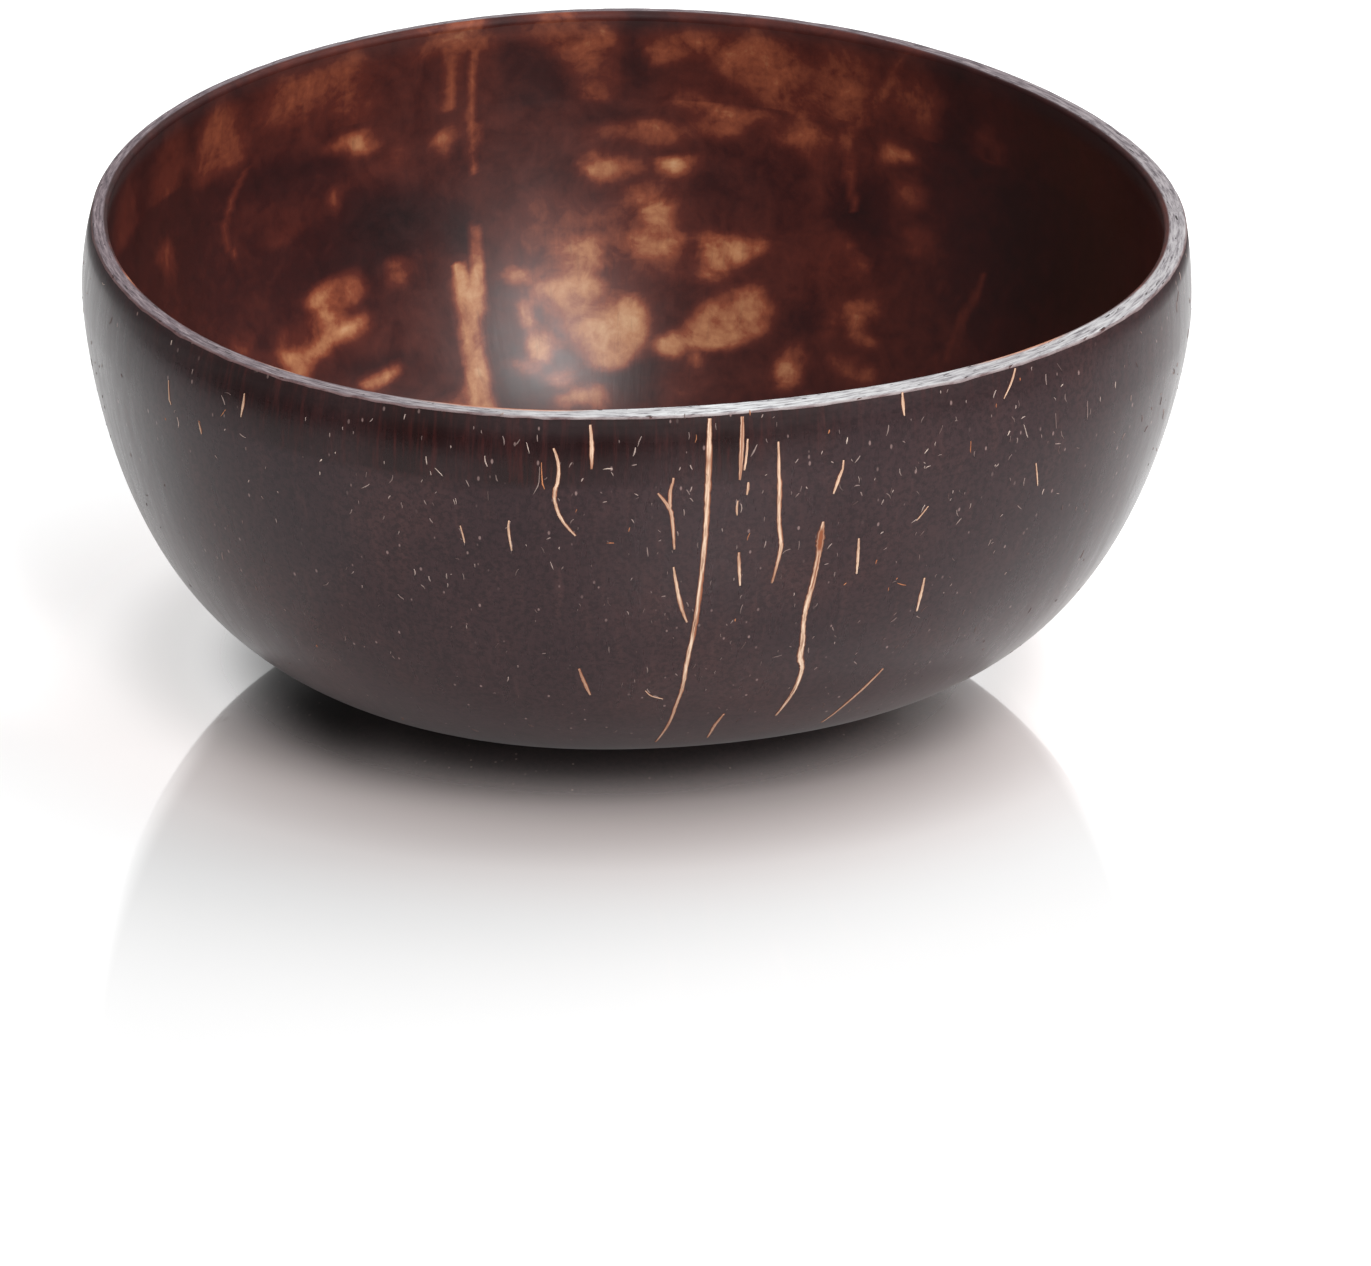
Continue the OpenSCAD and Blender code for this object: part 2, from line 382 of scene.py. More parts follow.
def shell_rim():
    """Sawn and sanded edge: pale grey end grain with streaks and pores, brown where it is polished, with
    painted light that makes it paler in front than at the back.
    """
    material, tree, shader = new_material("shell_rim")
    along = attribute(tree, "rim_grain", "Vector")
    tone = attribute(tree, "tone")
    streaks = noise(tree, along, 0.42, 6, 0.7, 0.3)
    # The edge's tone is painted light: it mixes the shaded and the lit copy of its grey
    bright = ramp(tree, streaks, RIM_LIT_TONES)
    pale = blend(tree, tone, ramp(tree, streaks, RIM_SHADED_TONES), bright)
    pores = noise(tree, scaled(tree, along, (2.5, 1, 1)), 0.55, 2, 0.5)
    pored = blend(tree, remap(tree, pores, 0.64, 0.7), pale, rgb(40, 32, 34))
    edged = blend(tree, attribute(tree, "edge"), pored, rgb(88, 52, 48))
    inside, _ = mottled(tree, attribute(tree, "place", "Vector"))
    browned = blend(tree, attribute(tree, "polished"), edged, inside)
    warmed = blend(tree, attribute(tree, "warm"), browned, rgb(196, 128, 92))
    rough = remap(tree, streaks, 0.3, 0.7, 0.6, 0.75)
    dress(tree, shader, warmed, rough, 0.3, bump(tree, streaks, 0.06, 0.5))
    return material


def fibre_strand():
    """Pale husk fibre with darker threads along it and brown margins."""
    material, tree, shader = new_material("fibre_strand")
    threads = noise(tree, attribute(tree, "thread", "Vector"), 0.3, 3, 0.6)
    pale = ramp(tree, threads, STRAND_TONES)
    margin = sums(tree, "MULTIPLY_ADD", threads, 0.5, attribute(tree, "margin"))
    edged = blend(tree, remap(tree, margin, 0.72, 1.1), pale, rgb(96, 50, 30))
    rusty = blend(tree, attribute(tree, "rust"), edged, rgb(132, 72, 42))
    dress(tree, shader, rusty, 0.6, 0.3, bump(tree, threads, 0.04, 0.5))
    return material


def fibre_fleck():
    """Tiny bits of fibre: grey white, pinkish or orange brown, some of them faint."""
    material, tree, shader = new_material("fibre_fleck")
    threads = noise(tree, attribute(tree, "thread", "Vector"), 0.25, 3, 0.6)
    plain = ramp(tree, attribute(tree, "tone"), FLECK_TONES)
    dark_share = remap(tree, threads, 0.35, 0.5, 0.5, 0.0)
    dress(tree, shader, blend(tree, dark_share, plain, rgb(70, 44, 38)), 0.6, 0.3)
    return material


# The shell

COLUMNS = 420
OUTER_LOW = 60
OUTER_HIGH = 8
RIM_STEPS = 16
INNER_HIGH = 8
INNER_EVEN = 90
INNER_EVEN_TO = -76.0
INNER_POLE = 30
BASE_STEPS = 4
RIM_EDGE = 0.4
CLOSING_COLAT = 0.00001
# The sawn edge round the bowl, by azimuth: how much of its width is left flat and pale, from the
# outside inwards, and how light it shows, which is painted light: paler at the front and darker grey
# round the back. The rest is rounded over and polished like the inside.
RIM_FLAT = [
    (-180, 0.72), (-165, 0.8), (-145, 0.84), (-117, 0.8), (-106, 0.7), (-99, 0.7), (-92, 0.85),
    (-84, 0.97), (-60, 0.98), (-45, 0.9), (-20, 0.76), (0, 0.74), (20, 0.8), (42, 0.9), (60, 0.66),
    (75, 0.55), (110, 0.55), (150, 0.6),
]
RIM_PAINTED_LIGHT = [
    (-180, 0.0), (-145, 0.0), (-120, 0.1), (-108, 0.45), (-100, 0.62), (-80, 0.97), (-66, 0.82),
    (-48, 0.6), (-30, 0.62), (-12, 0.45), (10, 0.25), (45, 0.05), (70, 0.0), (110, 0.1), (150, 0.0),
]
# How far the outer face is eased inwards at the sawn edge, in mm, and the latitude where that begins
RIM_EASE = [
    (-180, 0.7), (-150, 1.0), (-110, 1.0), (-97, 0.8), (-84, 0.4), (-45, 0.25), (0, 0.2), (60, 0.35),
    (120, 0.6),
]
EASE_FROM = 1.0
# How far the grain of the sawn edge slants across its width, in mm
RIM_SLANT = [(-170, 0.2), (-100, 0.3), (-45, 1.2), (-10, 1), (60, 0.3)]
# An orange line where the pale part meets the rounded part, and its width as a share of the edge's
RIM_WARM = [
    (-115, 0), (-108, 0.8), (-99, 0.8), (-93, 0), (-49, 0), (-46, 0.9), (-38, 0.8), (-35, 0), (100, 0),
]
WARM_WIDTH = 0.1

# Mottling of the inside, in degrees of azimuth and latitude on the inner face. A blot is its
# middle, its half width and half height, and its paleness: 0 near black, 1 pale orange. A few
# clouds are painted shade and a painted highlight, as marked.
CLOUDS = [
    (165, 0, 22, 30, 0.12), (190, -20, 40, 60, 0.1), (136, -31, 9, 9, 0.12), (168, 0, 5, 6, 0.28),
    (122, -27, 8, 7, 0.04), (126, -33, 7, 4, 0.06), (134, -12, 9, 6, 0.1), (112, -30, 3, 5, 0.08),
    # The near-black cloud at azimuth 30 is painted shade on the inner wall at the right, which faces away
    # from the key lamp
    (102, 2, 4, 7, 0.12), (92, -10, 4, 5, 0.15), (90, 4, 3, 4, 0.12), (30, -14, 20, 30, 0.02),
    (22, 5, 12, 5, 0.1), (48, 4, 4, 9, 0.08), (60, -26, 5, 9, 0.08), (75, -22, 7, 8, 0.16),
    (66, -46, 3, 4, 0.14), (106, -58, 5, 8, 0.14), (118, -50, 5, 6, 0.22), (88, -61, 4, 5, 0.14),
    (81.5, -61.5, 4, 3, 0.3), (82.5, -40, 3.5, 3.5, 0.3), (150, -18, 6, 14, 0.12),
    (133, -42, 12, 6, 0.15), (127, -53, 5, 3, 0.12), (105.5, 8, 2, 4, 0.1), (87, 8.3, 2.6, 1.7, 0.1),
    # The broad clouds at azimuth 88 to 98.5 and latitude -33 to -46 are partly the inside's brown mottling
    # and partly a painted highlight where the soft highlight falls
    (80, 2.6, 3.5, 1.1, 0.18), (98.5, -35, 8, 10, 0.36), (88, -33, 6, 9, 0.38), (96, -46, 9, 8, 0.34),
    (80, -45, 4, 3, 0.2), (62, -34, 5, 6, 0.28), (91, -12, 6, 4, 0.28),
]
PATCHES = [
    (112, 8, 4.2, 2, 0.52), (100, 8.3, 5.5, 1.9, 0.48), (94.5, 6, 2.6, 2.6, 0.46),
    (94, 0, 1.8, 2.6, 0.42), (76, 5.8, 6.5, 2.8, 0.44), (83, 7, 4, 1.8, 0.46), (72, 3.5, 3, 3.5, 0.48),
    (85.5, 5.6, 2.6, 1.2, 0.5), (81.5, -1.6, 3.5, 2.6, 0.46), (78, -5, 4, 2.8, 0.5),
    (71, 0.5, 2.4, 2.4, 0.4), (87.5, -11.5, 4, 2.4, 0.45), (79.5, -9, 2.4, 3, 0.45),
    (84.8, -19.8, 3, 2.2, 0.74), (93.4, -20.2, 3, 2.5, 0.7), (94.5, -17, 1.5, 2.2, 0.46),
    (88.6, -25.5, 1.4, 2, 0.5), (86.2, -29, 2.2, 3.6, 0.64), (86.5, -35, 3.2, 2.4, 0.64),
    (78.6, -36.5, 1.8, 3.6, 0.74), (76, -34.5, 2.2, 2.4, 0.68), (72.8, -33, 1.6, 1.7, 0.52),
    (76, -49.5, 4, 3, 0.66), (73, -44.8, 3.2, 2.8, 0.58), (72, -48, 1.6, 2.6, 0.46),
    (78.5, -52, 3.2, 2.6, 0.68), (83.5, -54, 2.4, 1.8, 0.74), (79, -57, 1.3, 2, 0.46),
    (65.4, -55.6, 2, 4, 0.68), (93.8, -51.5, 4.8, 5.2, 0.8), (90.5, -50, 3, 3.8, 0.8),
    (92.5, -56, 4, 2.6, 0.74), (98, -43.5, 4, 3.2, 0.74), (96.5, -37, 2.8, 3, 0.62),
    (104, -47, 1.3, 3, 0.64), (102.5, -54, 1.9, 3.4, 0.72), (105, -58, 2, 1.8, 0.52),
    (100.5, -60, 2.6, 1.6, 0.62), (97, -64.5, 4, 2.6, 0.66), (104.5, -40, 2.4, 1.7, 0.56),
    (117, -64, 5, 2.6, 0.5), (112.8, -11, 1.1, 3.2, 0.48), (144.5, 2, 3, 3.6, 0.5),
    (145.5, 0, 4, 5, 0.38), (134, 5, 5, 3, 0.42), (127, 4.5, 4.5, 3.4, 0.42), (125.5, -8, 3, 3, 0.54),
    (119.5, -14, 1.6, 2.6, 0.3), (128.5, -20, 1.3, 2.6, 0.4), (136.5, -24, 3, 2.4, 0.28),
    (121, -36.6, 1.6, 2.3, 0.5), (129, -37, 2.4, 2.4, 0.46), (132.5, -40, 2.3, 3, 0.7),
    (130, -44.5, 2.6, 3, 0.72), (135, -46, 3, 2.8, 0.76), (139.5, -48, 2.6, 2.8, 0.7),
    (141, -51, 1.5, 2, 0.56), (126.4, -54.4, 1.8, 1.6, 0.68), (128.6, -56, 1.5, 1.4, 0.64),
    (140, -44, 1.6, 2.2, 0.34), (148, -42, 2.2, 2.6, 0.38), (158, -17, 2, 4, 0.36),
    (166, -28, 1.6, 2.6, 0.36), (156, 2, 4, 4, 0.32), (69, -1, 2, 2.2, 0.44),
    (68.2, -8.5, 3.2, 4.6, 0.52), (64, 3, 3.8, 4.2, 0.43), (53, 3.6, 3.6, 2.8, 0.42),
    (55.8, -8.3, 2.4, 3, 0.6), (53, -17, 2, 2.8, 0.35), (51, -27, 1.2, 2.6, 0.32),
    (58.5, -34, 1.4, 1.6, 0.35), (57, -43.5, 1.9, 3, 0.52), (55.5, -47.5, 2.4, 1.8, 0.44),
    (61, -45, 1.6, 3.6, 0.32), (58, -52.5, 1.4, 1.6, 0.36), (55, -54.5, 2, 1.6, 0.42),
    (43, 1, 2.4, 3.2, 0.3), (43, 1, 1.2, 1.6, 0.14),
]
# Stripes of the inside, from below upwards: azimuth, latitude, half width. Then their paleness.
STRIPES = [
    ([(113.6, -69, 2.3), (113, -63.7, 2.2), (112.4, -55, 1.9), (112, -47, 1.7), (112.3, -42, 1.4),
      (112.8, -37.5, 0.7)], 0.7),
    ([(110.8, -46, 1), (110.5, -41, 0.9), (110.2, -36, 0.8)], 0.66),
    ([(110.2, -37, 0.8), (110.2, -30, 0.5)], 0.5),
    ([(109.8, -19, 0.5), (109.6, -10, 0.8), (110, 0, 0.5), (110.2, 6, 0.5)], 0.46),
    ([(112.6, -3, 0.3), (112.6, 3, 0.7), (112.5, 8, 1)], 0.46),
    ([(144.5, -25, 0.4), (145.6, -21, 0.6), (144.9, -17, 0.5), (143.4, -12, 0.5), (141, -6, 0.4)], 0.33),
    ([(61, -23.5, 0.5), (61.8, -16, 0.75), (63, -9.6, 0.8), (62.4, -4, 0.9), (60.5, 0.7, 0.8), (58, 4, 0.7),
      (55, 9, 0.5)], 0.36),
    ([(42.2, -46, 0.5), (41.6, -38, 0.75), (40, -28.5, 0.5)], 0.28),
    ([(64.2, -35.6, 0.5), (62, -33.4, 0.8), (60.2, -30.5, 0.5)], 0.32),
]
BASE_PALENESS = 0.22
# The half of the inside that faces away from the camera gets seeded patches of the same kinds
UNSEEN_FROM = 185
UNSEEN_TO = 350
UNSEEN_COUNT = 110
# So does the bottom, where they are placed in plan, in mm from its middle
BOTTOM_COUNT = 34
BOTTOM_REACH = 38.0
SEEDED_PALENESS = (0.35, 0.45, 0.5, 0.7, 0.8)
# How far the edges of patches are bent out of shape, in degrees and in mm of plan
BENT_AZ = 0.7
BENT_LAT = 0.9
BENT_PLAN = 1.6


def unseen_patches():
    rng = random.Random(21)
    rows = []
    for _ in range(UNSEEN_COUNT):
        pale = rng.choice(SEEDED_PALENESS)
        lat = 12 - 80 * rng.random() ** 0.8
        az = rng.uniform(UNSEEN_FROM, UNSEEN_TO)
        half_w, half_h = rng.uniform(1.4, 4), rng.uniform(1.6, 3.6)
        rows.append((az, lat, half_w, half_h, pale))
    return rows


def bottom_patches():
    rng = random.Random(8)
    rows = []
    for _ in range(BOTTOM_COUNT):
        reach, turn = BOTTOM_REACH * rng.random() ** 0.6, rng.uniform(0, 2 * math.pi)
        pale = rng.choice(SEEDED_PALENESS)
        half_w, half_d = rng.uniform(1.8, 6), rng.uniform(1.8, 6)
        rows.append((reach * math.cos(turn), reach * math.sin(turn), half_w, half_d, pale))
    return rows


def stripe_distance(az, lat, places):
    """Distance from a bent line of changing width, as a share of that width."""
    nearest = np.full(az.shape, 9.0)
    for (az_a, lat_a, half_a), (az_b, lat_b, half_b) in zip(places, places[1:]):
        run = np.array([az_b - az_a, lat_b - lat_a])
        t = np.clip(((az - az_a) * run[0] + (lat - lat_a) * run[1]) / (run @ run), 0, 1)
        off = np.hypot(az - az_a - t * run[0], lat - lat_a - t * run[1])
        nearest = np.minimum(nearest, off / (half_a + (half_b - half_a) * t))
    return nearest


def paleness(az, lat, plan):
    """How pale the inside is at a place, 0 to 1, from the tables of its mottling, painted shade and painted
    highlight included.
    """
    bent_az = az + BENT_AZ * waves(az, lat, 31, 9, 12, 40)
    bent_lat = lat + BENT_LAT * waves(az, lat, 32, 9, 12, 40)
    level = np.full(az.shape, BASE_PALENESS)

    def lay(distance, pale, soft_from, soft_to):
        nonlocal level
        cover = 1 - smooth(soft_from, soft_to, distance)
        level = level + (pale - level) * cover

    def from_blot(blot_az, blot_lat, half_w, half_h):
        turn = (bent_az - blot_az + 180) % 360 - 180
        return np.hypot(turn / half_w, (bent_lat - blot_lat) / half_h)

    for blot_az, blot_lat, half_w, half_h, pale in CLOUDS:
        lay(from_blot(blot_az, blot_lat, half_w, half_h), pale, 0.3, 1.5)
    for blot_az, blot_lat, half_w, half_h, pale in PATCHES + unseen_patches():
        lay(from_blot(blot_az, blot_lat, half_w, half_h), pale, 0.1, 1.75)
    bent_x = plan[:, 0] + BENT_PLAN * waves(6 * plan[:, 0], 6 * plan[:, 1], 33)
    bent_y = plan[:, 1] + BENT_PLAN * waves(6 * plan[:, 0], 6 * plan[:, 1], 34)
    for x, y, half_w, half_d, pale in bottom_patches():
        lay(np.hypot((bent_x - x) / half_w, (bent_y - y) / half_d), pale, 0.1, 1.75)
    for places, pale in STRIPES:
        lay(stripe_distance(az + 0.3 * (bent_az - az), lat, places), pale, 0.4, 1.6)
    return level


def rounding(radius, distance):
    """How far a rounded edge has dropped at a distance from its side."""
    return radius * (1 - np.sqrt(1 - np.clip(1 - distance / radius, 0, 1) ** 2))


def shell_rings():
    """Rings of points from the base's middle round to the inner pole, with their zones."""
    az = np.arange(COLUMNS) * 360 / COLUMNS
    top = rim_lat(az)
    rings = []

    def ring(points, lat, zone, across=0.0):
        across = 1.0 if zone == "inside" else across
        rings.append((points, np.broadcast_to(lat, az.shape), zone, across))

    base_edge = outer(az, np.full(COLUMNS, BASE_COLAT - 90))
    for step in range(1, BASE_STEPS):
        ring(base_edge * [step / BASE_STEPS, step / BASE_STEPS, 0], BASE_COLAT - 90, "outside")
    ring(base_edge * [0.985, 0.985, 0], BASE_COLAT - 90, "outside")
    for lat in low_lats(BASE_COLAT, OUTER_LOW)[1:]:
        ring(outer(az, lat), lat, "outside")
    out_top, in_top = eased(az, top), inner(az, top)
    in_top[:, 2] = out_top[:, 2]
    width = np.linalg.norm(in_top - out_top, axis=1)
    out_edge = RIM_EDGE * (0.8 + 0.25 * np.clip(waves(az * 3, 0, 11, 9, 3, 40), 0, 2))
    in_edge = np.maximum(RIM_EDGE, width * (1 - around(az, RIM_FLAT)))
    in_edge = in_edge * (1 + 0.06 * np.clip(waves(az * 3, 0, 12, 9, 3, 40), 0, 2))
    edge_lat = top - np.degrees(out_edge / CROWN_H)
    for step in range(1, OUTER_HIGH + 1):
        lat = edge_lat * step / OUTER_HIGH
        ring(eased(az, lat), lat, "outside")
    for step in range(RIM_STEPS + 1):
        u = (step / RIM_STEPS + (1 - math.cos(math.pi * step / RIM_STEPS)) / 2) / 2
        drop = rounding(out_edge, u * width) + rounding(in_edge, (1 - u) * width)
        points = out_top + (in_top - out_top) * u
        points[:, 2] -= drop * 0.9
        ring(points, top, "rim", u)
    edge_lat = top - np.degrees(in_edge / CROWN_H)
    for step in range(INNER_HIGH, 0, -1):
        lat = edge_lat * step / INNER_HIGH
        ring(inner(az, lat), lat, "inside")
    for lat in np.linspace(0, INNER_EVEN_TO, INNER_EVEN, endpoint=False):
        ring(inner(az, lat), lat, "inside")
    for lat in low_lats(CLOSING_COLAT, INNER_POLE, 90 + INNER_EVEN_TO)[::-1]:
        ring(inner(az, lat), lat, "inside")
    return az, rings


# The darker, redder band under the rim, by azimuth: the latitude where it begins, and its strength
RED_FROM = [(-175, 5), (-145, 1), (-126, -5), (-108, -7), (-90, -3), (-60, 1), (0, 3), (90, 2)]
RED_STRENGTH = [(-175, 0.5), (-150, 1), (-85, 1), (-60, 0.5), (0, 0.3), (90, 0.4)]


def redness(az, lat):
    """How far the outer face turns darker red: a band under the rim, strongest in front, and one zone in
    it.
    """
    low = around(az, RED_FROM)
    band = smooth(low, low + 7, lat) * around(az, RED_STRENGTH)
    zone = np.exp(-((az + 78.5) / 3) ** 2 - ((lat - 2.5) / 4) ** 2)
    return np.clip(0.9 * band * (0.9 + 0.2 * waves(az, lat, 41, 9, 6, 30)) + 0.5 * zone, 0, 1)


def build_shell():
    az, rings = shell_rings()
    ring_points, ring_lats, zone_of, ring_across = zip(*rings)
    points, lats = np.concatenate(ring_points), np.concatenate(ring_lats)
    azs, across = np.tile(az, len(rings)), np.repeat(ring_across, COLUMNS)
    faces, kinds = [], []
    zones = {"outside": 0, "rim": 1, "inside": 2}
    for i in range(len(rings) - 1):
        both = {zone_of[i], zone_of[i + 1]}
        kind = "rim" if "rim" in both else both.pop()
        for k in range(COLUMNS):
            a, b = i * COLUMNS + k, i * COLUMNS + (k + 1) % COLUMNS
            faces.append((a, b, b + COLUMNS, a + COLUMNS))
            kinds.append(zones[kind])
    last = (len(rings) - 1) * COLUMNS
    points = np.vstack([points, [[0, 0, 0]], [points[last:last + COLUMNS].mean(axis=0)]])
    base_middle, inner_pole = len(points) - 2, len(points) - 1
    for k in range(COLUMNS):
        faces.append((base_middle, (k + 1) % COLUMNS, k))
        kinds.append(zones["outside"])
        faces.append((inner_pole, last + k, last + (k + 1) % COLUMNS))
        kinds.append(zones["inside"])
    piece = new_mesh_object("bowl_shell", points, faces)
    for maker in (shell_outside, shell_rim, shell_inside):
        piece.data.materials.append(maker())
    piece.data.polygons.foreach_set("material_index", kinds)
    azs = np.append(azs, [0, 0])
    lats = np.append(lats, [-90, -90 + CLOSING_COLAT])
    across = np.append(across, [0, 0])
    climb = np.radians(lats + 90) * SHELL_R
    grain = [SHELL_R * cosd(azs), SHELL_R * sind(azs), climb * 0.1]
    slant = around(azs, RIM_SLANT) * across
    rim_grain = [SHELL_R * np.radians(azs) * 0.12 - slant, across * 3, np.zeros(len(azs))]
    flat = around(azs, RIM_FLAT)
    warm_line = np.exp(-((across - flat - 0.02) / WARM_WIDTH) ** 2)
    give(
        piece,
        place=points * MM,
        grain=np.stack(grain, -1) * MM,
        rim_grain=np.stack(rim_grain, -1) * MM,
        paleness=paleness(azs, lats, points),
        redness=redness((azs + 180) % 360 - 180, lats),
        # tone on the shell is the sawn edge's painted light
        tone=around(azs, RIM_PAINTED_LIGHT),
        near_edge=smooth(-2.5, -0.6, lats - rim_lat(azs)),
        polished=smooth(flat - 0.04, np.minimum(flat + 0.06, 1), across),
        edge=(1 - smooth(0.0, 0.09, across)) * 0.7,
        warm=around(azs, RIM_WARM) * warm_line)
    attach(piece, "root")
    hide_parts("shell")
    return piece


# Strands: azimuth, latitude, share of the full width
STRANDS = {
    "long_strand": [[
        (-80.8, 6.2, 0.55), (-80.9, 3.5, 0.8), (-81, -4, 0.9), (-81, -13, 0.8), (-81.1, -22, 0.75),
        (-81.3, -31, 0.7), (-81.5, -37, 0.7), (-82, -45, 0.7), (-82.2, -52, 0.6),
        (-82.7, -57, 0.5), (-83.2, -63, 0.45), (-84.5, -72, 0.3)]],
    "thick_strand": [[
        (-67.4, -15.5, 0.35), (-67.5, -19.5, 1.2), (-67.5, -23.5, 0.85), (-67.7, -29, 0.8),
        (-68, -34, 0.9), (-68, -38, 0.7), (-67.6, -42.5, 0.85), (-67.4, -46.5, 1),
        (-66.7, -49.5, 0.8), (-66.7, -55, 0.7), (-67.2, -60, 0.5), (-67.6, -63.5, 0.3)]],
    "forked_strand": [
        [(-86.6, -4.5, 0.3), (-85.3, -9, 0.6), (-84.9, -12, 0.55), (-84.5, -19.5, 0.3)],
        [(-84.9, 0.5, 0.3), (-85.2, -4, 0.5), (-85.2, -9.5, 0.55)]],
    "fork_tail_strand": [[(-84.5, -23.5, 0.3), (-84.1, -27, 0.5), (-83.4, -32, 0.6), (-82.5, -36, 0.3)]],
    "straight_strand": [[
        (-73, 3.5, 0.35), (-72.8, -4, 0.7), (-72.6, -14, 0.6), (-72.1, -20, 0.7),
        (-72.3, -24, 0.5), (-72.7, -28.5, 0.3)]],
    "curved_strand": [[
        (-98.2, 3.5, 0.3), (-97.6, 1.5, 0.55), (-98, -3.5, 0.6), (-97.9, -8, 0.55),
        (-97.1, -12.5, 0.5), (-95.7, -16, 0.3)]],
    "rim_strand": [[(-77.1, 6.2, 0.5), (-77.2, 3, 0.7), (-77.4, -0.5, 0.3)]],
    "short_upper_strand": [[(-94.2, 5.8, 0.4), (-94, 3.5, 0.7), (-94, 1.5, 0.3)]],
    "short_middle_strand": [[(-77, -21, 0.35), (-76.8, -24.5, 0.55), (-76.5, -28.5, 0.3)]],
    "upper_right_strand": [[(-65.5, 1, 0.3), (-66, -4, 0.6), (-66.5, -8.5, 0.3)]],
    "middle_right_strand": [[(-62.9, -20.5, 0.3), (-62.7, -24.5, 0.5), (-62.5, -28.5, 0.3)]],
    "lower_right_strand": [[(-53.7, -32, 0.3), (-53.6, -36, 0.55), (-53.5, -39.5, 0.3)]],
    "low_diagonal_strand": [[(-55, -53, 0.3), (-56.3, -58, 0.5), (-57.6, -64, 0.45), (-58.3, -70, 0.3)]],
    "lower_left_strand": [[(-95.5, -46.5, 0.3), (-94.9, -50, 0.55), (-94.2, -53.5, 0.3)]],
    "base_strand": [[(-75.6, -61, 0.3), (-76.3, -65.5, 0.5), (-76.3, -71, 0.3)]],
}

# Rust brown parts of the strands: lowest and highest latitude, from and to across the strand
# (-1 its left edge, 1 its right edge), and how strong
RUST = {
    "long_strand": [(-40, -25, 0.2, 1.1, 0.8), (-25, 3, 0.55, 1.2, 0.4), (-75, -52, -1, 1, 0.45),
                    (1.4, 2.6, -0.6, 0.6, 0.7)],
    "thick_strand": [(-22.5, -17, -0.55, 0.55, 1), (-31, -22.5, -0.1, 0.35, 0.9), (-64, -58, -1, 1, 0.3)],
    "forked_strand": [(-20, 1, -1, 1, 0.35)],
    "fork_tail_strand": [(-36, -31, -1, 1, 0.3)],
    "straight_strand": [(-29, -22, -1, 1, 0.35), (-20, 0, 0.5, 1.2, 0.5)],
    "curved_strand": [(-17, -13, -1, 1, 0.3), (-6, -3, -1, 1, 0.4)],
    "rim_strand": [(-1, 7, -0.3, 0.4, 0.8)],
    "short_upper_strand": [(-1, 2.4, -1, 1, 0.75)],
    "short_middle_strand": [(-24, -20, -1, 1, 0.3)],
    "lower_left_strand": [(-54, -46, -1, 1, 0.55)],
    "base_strand": [(-72, -60, -1, 1, 0.5)],
    "low_diagonal_strand": [(-72, -50, -1, 1, 0.4)],
}
RUST_SOFT = 0.8
STRAND_PROUD = 0.05
SECTION = 13


def spline(places, t):
    """A smooth curve through the places, as in the part."""
    i = np.clip(np.floor(t).astype(int), 0, len(places) - 2)
    u = (t - i)[:, None]
    a, b, c, d = (places[np.clip(i + k, 0, len(places) - 1)] for k in (-1, 0, 1, 2))
    return (2 * b + (c - a) * u + (2 * a - 5 * b + 4 * c - d) * u ** 2
            + (3 * b - a - 3 * c + d) * u ** 3) / 2


def rust_at(lat, share, rust_rows):
    """How rusty a strand is, for each latitude and each place across it from -1 to 1."""
    lat = lat[:, None]
    rust = np.zeros((len(lat), len(share)))
    for low, high, left, right, strength in rust_rows:
        above = smooth(low - RUST_SOFT, low + RUST_SOFT, lat)
        below = 1 - smooth(high - RUST_SOFT, high + RUST_SOFT, lat)
        across = smooth(left - 0.2, left + 0.1, share) * (1 - smooth(right - 0.1, right + 0.2, share))
        rust = np.maximum(rust, strength * (above * below) * across)
    return rust


def ribbon(places, steps_per_place, sides, rng, sunk, rust_rows):
    """Points of a strand that follows the outer face, and three numbers of them for its material."""
    places = np.array(places, float)
    t = np.linspace(0, len(places) - 1, (len(places) - 1) * steps_per_place + 1)
    az, lat, thick = spline(places, t).T
    centre = eased(az, lat)
    out = facing(az, lat)
    along = unit(np.gradient(centre, axis=0))
    side = unit(np.cross(out, along))
    run = np.append(0, np.cumsum(np.linalg.norm(np.diff(centre, axis=0), axis=1)))
    wobble = np.array([[rng.uniform(0.82, 1.15) for _ in range(2)] for _ in run])
    turn = np.pi * np.arange(sides) / (sides - 1)
    share = -np.cos(turn)
    half = (thick * STRAND_W / 2)[:, None]
    x = share * half * np.where(turn < np.pi / 2, wobble[:, :1], wobble[:, 1:])
    crown = STRAND_PROUD * np.sin(turn) ** 0.5
    centre, side, out = centre[:, None], side[:, None], out[:, None]
    top = centre + side * x[..., None] + out * crown[:, None]
    under = centre + side * (x * 0.8)[:, ::-1, None] - out * sunk
    margin = np.tile(np.append(np.abs(share), np.ones(sides)), len(run))
    thread = np.zeros((len(run), 2 * sides, 3))
    thread[..., 0] = np.hstack([x, x[:, ::-1]])
    thread[..., 1] = run[:, None] * 0.08
    rust = np.hstack([rust_at(lat, share, rust_rows), np.zeros(x.shape)])
    return np.hstack([top, under]).reshape(-1, 3), margin, thread.reshape(-1, 3), rust.ravel()


def tube_faces(first, rings, sides):
    """Faces of a closed tube through rings of equally many points."""
    faces = []
    for i in range(rings - 1):
        for k in range(sides):
            a = first + i * sides + k
            b = first + i * sides + (k + 1) % sides
            faces.append((a, a + sides, b + sides, b))
    faces.append(tuple(first + k for k in range(sides)))
    faces.append(tuple(first + (rings - 1) * sides + k for k in reversed(range(sides))))
    return faces


